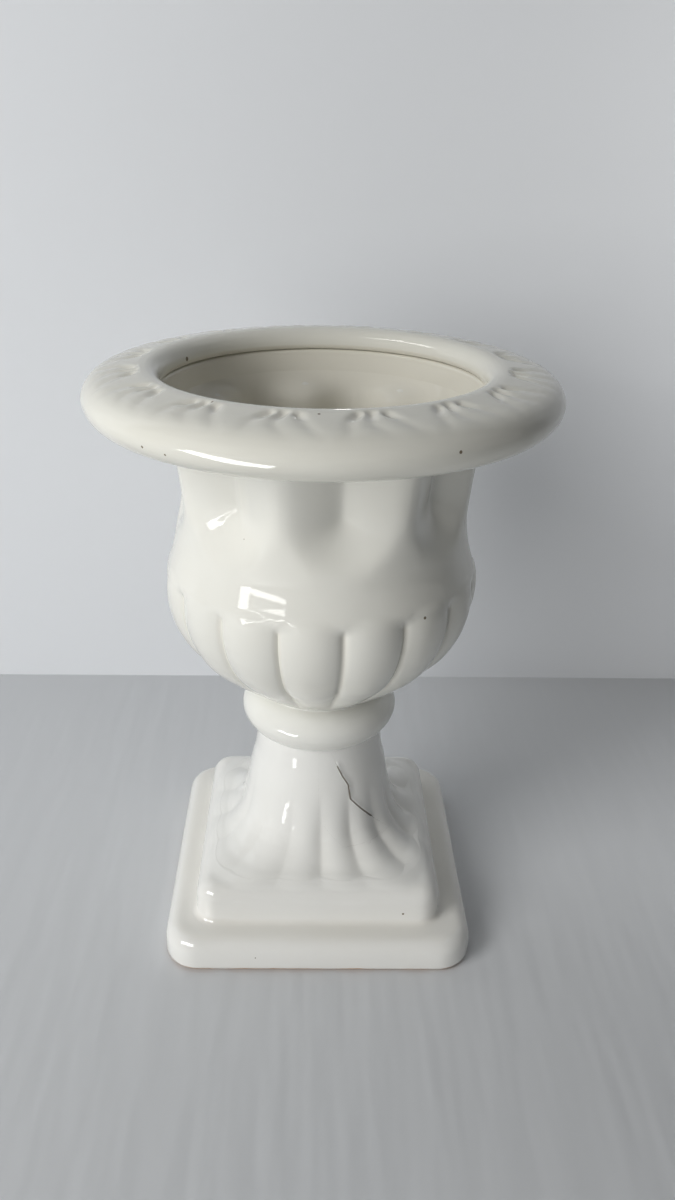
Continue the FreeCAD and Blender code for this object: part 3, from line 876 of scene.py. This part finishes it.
stem_glaze = glaze_coat("stem_glaze", BODY_WHITE, BODY_SHADE)
crack = stem_glaze.node_tree
crack_read = crack.nodes.new("ShaderNodeAttribute")
crack_read.attribute_name = "crack"
crack_width = math_node(crack, "ABSOLUTE")
crack_mask = range_node(crack, 0.22, 0.52, 1, 0)
cracked = mix_node(crack, B=CRACK_DARK)
wire(
    crack,
    (crack_read.outputs["Fac"], crack_width.inputs[0]),
    (crack_width.outputs[0], crack_mask.inputs["Value"]),
    (crack_mask.outputs["Result"], cracked.inputs["Factor"]),
    (crack.nodes["dotted"].outputs["Result"], cracked.inputs["A"]),
    (cracked.outputs["Result"], crack.nodes["Principled BSDF"].inputs["Base Color"]),
)
finish_casting(stem, stem_glaze, "stem")
hang_strip("stem_shine", stem, 0.095, (-0.112, -0.123, 0.031), (-0.098, -0.136, 0.032), 0.007, 9)

# ---------------------------------------------------------------------------
# Knop slip: the thin luted joint between the stem and the knop, a hollow bead
# that the glaze has filled.
# ---------------------------------------------------------------------------
knop_slip = lathe(
    "knop_slip_bead",
    [(31, 104.3, "V"), (33.15, 104.2, "V"), (33.25, 104.8), (33.9, 105.3, "V"), (31, 105.5, "V")],
    256,
    3,
)
finish_casting(knop_slip, slip_glaze, "knop_slip")

# ---------------------------------------------------------------------------
# Bowl slip: the thin luted joint between the knop and the bowl's foot, the same
# kind of bead.
# ---------------------------------------------------------------------------
bowl_slip = lathe(
    "bowl_slip_bead",
    [(28, 126.6, "V"), (31.2, 126.7, "V"), (30.9, 127.3), (31.4, 128.0, "V"), (28, 128.2, "V")],
    256,
    3,
)
finish_casting(bowl_slip, slip_glaze, "bowl_slip")

# ---------------------------------------------------------------------------
# Knop: a plain hollow ring bulge, cast apart and luted between the stem and the
# bowl.
# ---------------------------------------------------------------------------
KNOP_WHITE, KNOP_SHADE = (0.83, 0.83, 0.79), (0.80, 0.80, 0.755)
knop = lathe(
    "knop_casting",
    [
        (33.2, 104.9, "V"), (36.2, 106.9), (38.6, 109.8), (40.2, 113.0), (40.7, 116.2),
        (40.0, 119.6), (38.2, 122.6), (35.2, 125.3), (30.5, 127.3, "V"), (24, 127.3, "V"),
        (30.5, 122), (33.8, 116), (31.5, 109.6), (27.2, 104.9, "V"),
    ],
    384,
    6,
)
mark(knop, "soft", lambda p: within(p.level, 105, 109, 123, 127))
slump(knop, "soft", 0.5, 0.04)
finish_casting(knop, glaze_coat("knop_glaze", KNOP_WHITE, KNOP_SHADE), "knop")
hang_strip("knop_shine", knop, 0.118, (-0.275, -0.196, 0.084), (-0.155, -0.280, 0.030), 0.065, 16)

# ---------------------------------------------------------------------------
# Bowl: one hollow casting. Sixteen gadroons ring the belly, eight scalloped niches
# stand round the neck, and the wall follows the niches on the inside.
# ---------------------------------------------------------------------------
# The bowl's second colour is the glaze's greyer tone, and inside the bowl it is painted shade.
BOWL_WHITE, BOWL_GREY_AND_PAINTED_SHADE = (0.82, 0.82, 0.775), (0.785, 0.76, 0.675)
BOWL_PITS = [(-31.6, 66.5, 232.0, 0.6), (37.0, 76.8, 196.4, 0.7)]
# How many there are, the turn of one niche's middle or one groove, and a gadroon's top in mm.
NICHES, NICHE_TURN = 8, 7.5
GADROONS, GROOVE_TURN, GADROON_TOP = 16, 7.3, 202.5
NECK_FOOT, BELLY_TOP = 205, 206  # mm, where the masks of the niches begin and the gadroons' end
bowl = lathe(
    "bowl_casting",
    [
        (0, 127.3, "V"), (30.5, 127.3, "V"), (36.5, 131.6), (43.4, 136.6), (50.0, 141.6),
        (56.2, 146.9), (64.4, 154.8), (68.6, 160.4), (71.7, 166.1), (74.2, 171.9), (75.9, 177.8),
        (77.0, 184), (77.25, 190), (77.0, 194), (76.15, 198), (75.05, 202), (73.85, 206),
        (72.8, 210), (71.95, 214), (71.2, 219), (70.8, 225), (71.0, 231.5), (71.8, 239),
        (72.9, 249), (74.7, 261), (78.7, 275.9, "V"), (72.6, 275.9, "V"), (68.7, 262),
        (66.5, 250), (65.4, 235), (65.7, 221), (68.9, 206), (71.2, 190), (69.0, 174),
        (62.5, 160), (50, 146), (36, 136), (20, 133.6), (0, 133.6, "V"),
    ],
    520,
    5,
    closed=False,
)


def niche(p):
    """Depth share of a scalloped niche: a rounded V with a U-shaped foot, on the outside."""
    if p.level <= NECK_FOOT or p.out <= 0:
        return 0
    low = max(0, 243 - p.level) / 23
    off = math.sqrt((off_nearest(p.turn, NICHE_TURN, NICHES) / 20) ** 2 + low**2 + 0.01)
    depth = 0.07 * math.log(1 + math.exp((1 - off) / 0.07))
    return depth * (1 - eased(p.level, 266, 275.5))


def niche_behind(p):
    """The same niche as the inside shows it, softer, as slip fills the mould's corners."""
    if p.level <= NECK_FOOT or p.out > 0:
        return 0
    across = abs(off_nearest(p.turn, NICHE_TURN, NICHES))
    round_here = 0.5 + 0.5 * math.cos(math.pi * min(1, across / 22))
    return round_here * within(p.level, 218, 243, 262, 275)


def on_belly(p):
    """Whether a spot is on the outside, below the niches."""
    return p.out >= 0.02 and p.level <= BELLY_TOP


def gadroon_across(turn):
    """0 in the groove between two gadroons, 1 on a crown."""
    return abs(off_nearest(turn, GROOVE_TURN, GADROONS)) / (180 / GADROONS)


def gadroon_top(across):
    """The level of a gadroon's arched top, in mm."""
    return GADROON_TOP - 3 * (1 - across) ** 2


def lobed(p):
    """The hollow between two gadroons, full on the belly and fading to the foot."""
    if not on_belly(p):
        return 0
    across = gadroon_across(p.turn)
    top = gadroon_top(across)
    return (1 - across) ** 2 * within(p.level, 129, 146, top - 7, top)


def grooved(p):
    """The narrow line at the bottom of that hollow."""
    if not on_belly(p):
        return 0
    off = math.radians(off_nearest(p.turn, GROOVE_TURN, GADROONS)) * p.reach
    return math.exp(-((off / 1.4) ** 2)) * within(p.level, 130, 150, 192, 198)


def crowned(p):
    """The gadroons stand a little proud of the belly above them, ending in soft arches."""
    if not on_belly(p):
        return 0
    across = gadroon_across(p.turn)
    top = gadroon_top(across)
    return within(p.level, 150, 185, top - 4.2, top) * (1 - (1 - across) ** 3)


mark(bowl, "niches_out", niche)
mark(bowl, "niches_in", niche_behind)
mark(bowl, "lobes", lobed)
mark(bowl, "grooves", grooved)
mark(bowl, "crowns", crowned)
press(bowl, "niches_out", 12.6)
press(bowl, "niches_in", -9.6)
press(bowl, "lobes", 2.5)
press(bowl, "grooves", 0.6)
press(bowl, "crowns", -0.65)
mark(bowl, "soft", lambda p: within(p.level, 131, 145, 262, 273) * (p.reach > 20))
slump(bowl, "soft", 0.5, 0.09)
# Painted shade: the inside of the bowl takes the darker, warmer second colour in full, for the dim
# light within the mouth.
mark(bowl, "inside", lambda p: p.out < -0.02 or (p.up > 0.3 and p.reach < 50))
note_pools_and_shade(bowl, {"grooves": 0.5, "inside": 1})
bowl_glaze = glaze_coat("bowl_glaze", BOWL_WHITE, BOWL_GREY_AND_PAINTED_SHADE, pits=BOWL_PITS)
finish_casting(bowl, bowl_glaze, "bowl")
# The window as the belly mirrors it: two bars and, on their left, a broad bright post.
WINDOW = [
    ("window_bar", (-0.778, -0.558, 0.142), (-0.391, -0.891, 0.239), 0.04, 8),
    ("window_sill", (-0.777, -0.557, 0.286), (-0.389, -0.888, 0.294), 0.02, 8),
    ("window_post", (-0.777, -0.557, 0.126), (-0.777, -0.557, 0.286), 0.13, 7),
]
for name, start, end, broad, glow in WINDOW:
    hang_strip(name, bowl, 0.208, start, end, broad, glow)

# ---------------------------------------------------------------------------
# Rim slip: the luted joint under the rolled rim, a thin fillet between the neck
# and the roll.
# ---------------------------------------------------------------------------
rim_slip = lathe(
    "rim_slip_bead",
    [(76, 275.4, "V"), (78.5, 275.3, "V"), (79.0, 275.7), (80.2, 275.8, "V"), (76, 276.4, "V")],
    384,
    3,
)
finish_casting(rim_slip, slip_glaze, "rim_slip")

# ---------------------------------------------------------------------------
# Rim: a hollow rolled casting with a lip turned down at the mouth over a low inner
# collar. Sixteen fans of three strokes, pressed in the mould, ring its top.
# ---------------------------------------------------------------------------
# The rim's second colour is the glaze's greyer tone, and on the collar inside the mouth it is
# painted shade.
RIM_WHITE, RIM_GREY_AND_PAINTED_SHADE = (0.785, 0.78, 0.715), (0.76, 0.735, 0.65)
# How many fans, the turn of one fan's middle, and mm off its strokes where none is felt.
FANS, FAN_TURN, FAN_CLEAR = 16, 11.4, 9.0
# Each stroke of a fan, as degrees off its middle and reach in mm.
FAN = [
    [(-3.2, 87.3), (-4.6, 90.5), (-6.2, 95.2), (-6.5, 103), (-7.2, 107)],
    [(0.3, 86.5), (-0.6, 92), (-0.7, 97), (0.6, 101), (2.3, 105), (4, 107.6)],
    [(4.2, 87.8), (5.8, 93.6), (7.2, 98.1), (9.0, 104), (10.6, 106)],
]
RIM_PITS = [
    (-31.9, 84.5, 296.6, 0.6), (27.5, 110.3, 285.3, 0.7), (-1.7, 87.4, 296.5, 0.6),
    (-34.2, 109.6, 280.8, 0.5), (-40.5, 109.9, 281.7, 0.6), (-116.1, 74.1, 290.1, 1.1),
]
rim = lathe(
    "rim_casting",
    [
        (78.4, 275.9, "V"), (81.5, 275.0), (86, 273.9), (94.07, 272.9), (102.3, 274.3),
        (108.1, 278.3), (110.3, 284), (109.6, 287.4), (107.9, 290.0), (105.4, 292.2),
        (102.1, 293.8), (98.4, 294.8), (94.6, 295.5), (91.2, 296.0), (88, 296.45),
        (85.4, 296.8), (82.8, 296.95), (79.9, 296.6), (77.2, 295.3), (75.1, 293.0),
        (74.1, 290), (74.4, 287.8), (75.3, 286.9), (77.2, 286.7), (83, 291.1),
        (94.07, 289.42), (104.0, 284), (94.07, 278.58), (83, 281.4), (80.2, 285.4),
        (78.6, 286.35), (76.8, 286.4), (75.3, 285.9), (74.4, 283.2), (73.4, 279.3),
        (72.6, 275.9, "V"),
    ],
    640,
    4,
)


def laid_flat(off, reach):
    """A place on the rim, as mm across and along the fan that it belongs to."""
    return reach * math.sin(math.radians(off)), reach * math.cos(math.radians(off))


FAN_LINES = [[laid_flat(off, reach) for off, reach in stroke] for stroke in FAN]


def fan_stroke(p):
    """Depth share of the leaf fan's strokes, strong near the crest and fading outwards."""
    if p.up < 0.02 or p.level < 283 or p.reach < 84:
        return 0
    x, y = laid_flat(off_nearest(p.turn, FAN_TURN, FANS), p.reach)
    nearest = FAN_CLEAR
    for line in FAN_LINES:
        for (ax, ay), (bx, by) in zip(line, line[1:]):
            dx, dy = bx - ax, by - ay
            t = min(1, max(0, ((x - ax) * dx + (y - ay) * dy) / (dx * dx + dy * dy)))
            nearest = min(nearest, math.hypot(x - ax - t * dx, y - ay - t * dy))
    strength = 1 - 0.68 * eased(p.reach, 88.5, 95) - 0.32 * eased(p.reach, 97, 109)
    breadth = 2.1 + 0.8 * eased(p.reach, 90, 98)
    return math.exp(-((nearest / breadth) ** 2)) * strength


def roll_soft(p):
    """The outside of the roll, least soft along its crest."""
    if p.reach <= 82 or (p.level <= 283 and p.reach <= 104):
        return 0
    return eased(p.level, 277, 281) * (1 - 0.85 * eased(p.level, 294, 297))


mark(rim, "strokes", fan_stroke)
press(rim, "strokes", 1.35)
mark(rim, "soft", roll_soft)
slump(rim, "soft", 0.45, 0.05)
# Painted shade: the collar inside the mouth takes the darker second colour in full, to match the
# painted shade inside the bowl.
mark(rim, "inside", lambda p: p.out < 0 and p.reach < 79 and p.level < 289)
note_pools_and_shade(rim, {"strokes": 0.4, "inside": 1})
rim_glaze = glaze_coat("rim_glaze", RIM_WHITE, RIM_GREY_AND_PAINTED_SHADE, 0.014, RIM_PITS)
finish_casting(rim, rim_glaze, "rim")
hang_strip("roll_shine", rim, 0.283, (-0.248, -0.183, 0.228), (-0.089, -0.244, 0.124), 0.055, 14)
hang_strip("lip_shine", rim, 0.293, (0.007, 0.0536, 0.3248), (0.0153, 0.0573, 0.3235), 0.004, 9)
